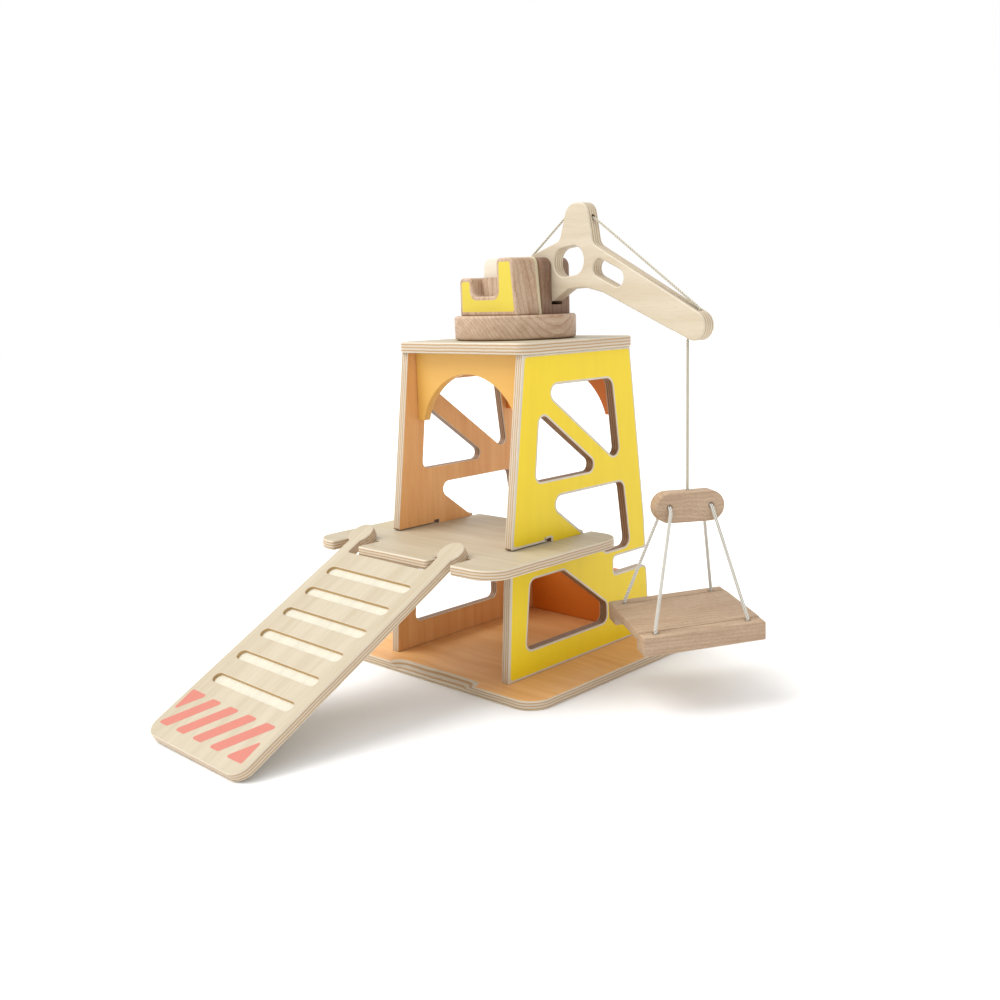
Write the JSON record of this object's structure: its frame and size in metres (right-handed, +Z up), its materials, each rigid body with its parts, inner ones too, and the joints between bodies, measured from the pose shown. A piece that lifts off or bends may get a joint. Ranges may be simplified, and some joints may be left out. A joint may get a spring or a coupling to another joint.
{
  "type": "toy tower crane",
  "caption": "Wooden toy tower crane: a two-storey plywood tower with a slot-in platform and hook-on ramp, and a turning beech turret whose boom lifts a pallet on a winch cord.",
  "frame": {"origin": "centre of the base board's underside", "axes": "+Z up, -Y towards the ramp, +X towards the side that the boom points to at rest"},
  "size_m": [0.4048, 0.5131, 0.4379],
  "materials": {
    "plywood": "clear-lacquered birch plywood, pale face and layered edges",
    "yellow_plywood": "birch plywood with a satin yellow screen print inside an unprinted border",
    "orange_plywood": "birch plywood stained orange, satin",
    "beech": "solid beech, clear satin lacquer, fine flecks and growth rings",
    "cotton_cord": "undyed twisted cotton cord",
    "zinc_steel": "zinc-plated steel fasteners"
  },
  "bodies": {
    "tower": {"base_plate": "plywood", "side_panel_left": "yellow_plywood", "side_panel_right": "yellow_plywood", "front_arch_panel": "orange_plywood", "rear_arch_panel": "orange_plywood", "rear_low_panel": "orange_plywood", "top_plate": "plywood", "wall_screws": "zinc_steel", "roof_dowels": "beech", "turret_bolt": "zinc_steel", "turret_washers": "zinc_steel", "turret_nut": "zinc_steel"},
    "platform": {"middle_platform": "plywood"},
    "ramp": {"ramp": "plywood"},
    "turret": {"turntable_disc": "beech", "cab_block": "beech", "cab_back_plate": "plywood", "boom_block": "beech", "boom": "plywood", "boom_dowels": "beech", "hoist_cord": "cotton_cord"},
    "winch": {"winch_axle": "beech", "winch_knob": "beech", "winch_cord_turns": "cotton_cord"},
    "line": {"drop_cord": "cotton_cord"},
    "knot": {"hoist_knot": "cotton_cord"},
    "load": {"spreader_bar": "beech", "sling_cord_left": "cotton_cord", "sling_cord_right": "cotton_cord", "sling_knots": "cotton_cord", "pallet_front_batten": "beech", "pallet_rear_batten": "beech", "pallet_deck": "beech", "pallet_pins": "beech"}
  },
  "joints": [
    {"name": "turret_turn", "type": "hinge", "parent": "tower", "child": "turret", "pos_m": [0, 0, 0.338], "axis": [0, 0, 1], "range_deg": [-25, 205]},
    {"name": "winch_turn", "type": "hinge", "parent": "turret", "child": "winch", "pos_m": [-0.01778, 0.01931, 0.368], "axis": [0.1219, 0.9925, 0], "range_deg": [-1300, 0]},
    {"name": "load_swing", "type": "hinge", "parent": "turret", "child": "line", "pos_m": [0.20435, -0.00796, 0.3149], "axis": [0.9925, -0.1219, 0], "range_deg": [-8, 8]},
    {"name": "load_lift", "type": "slide", "parent": "line", "child": "knot", "axis": [0, 0, 1], "range_m": [0, 0.105], "deforming": ["drop_cord"]},
    {"name": "load_twist", "type": "hinge", "parent": "knot", "child": "load", "pos_m": [0.20435, -0.00796, 0.3149], "axis": [0, 0, 1], "range_deg": [-90, 90]},
    {"name": "platform_slide", "type": "slide", "parent": "tower", "child": "platform", "axis": [0, -1, 0], "range_m": [0, 0.115]},
    {"name": "ramp_lift", "type": "slide", "parent": "platform", "child": "ramp", "axis": [0, -0.4828, 0.8757], "range_m": [0, 0.1]}
  ],
  "couplings": [
    {"joint": "winch_turn", "follows": "load_lift", "rad_per_m": -215.05}
  ]
}
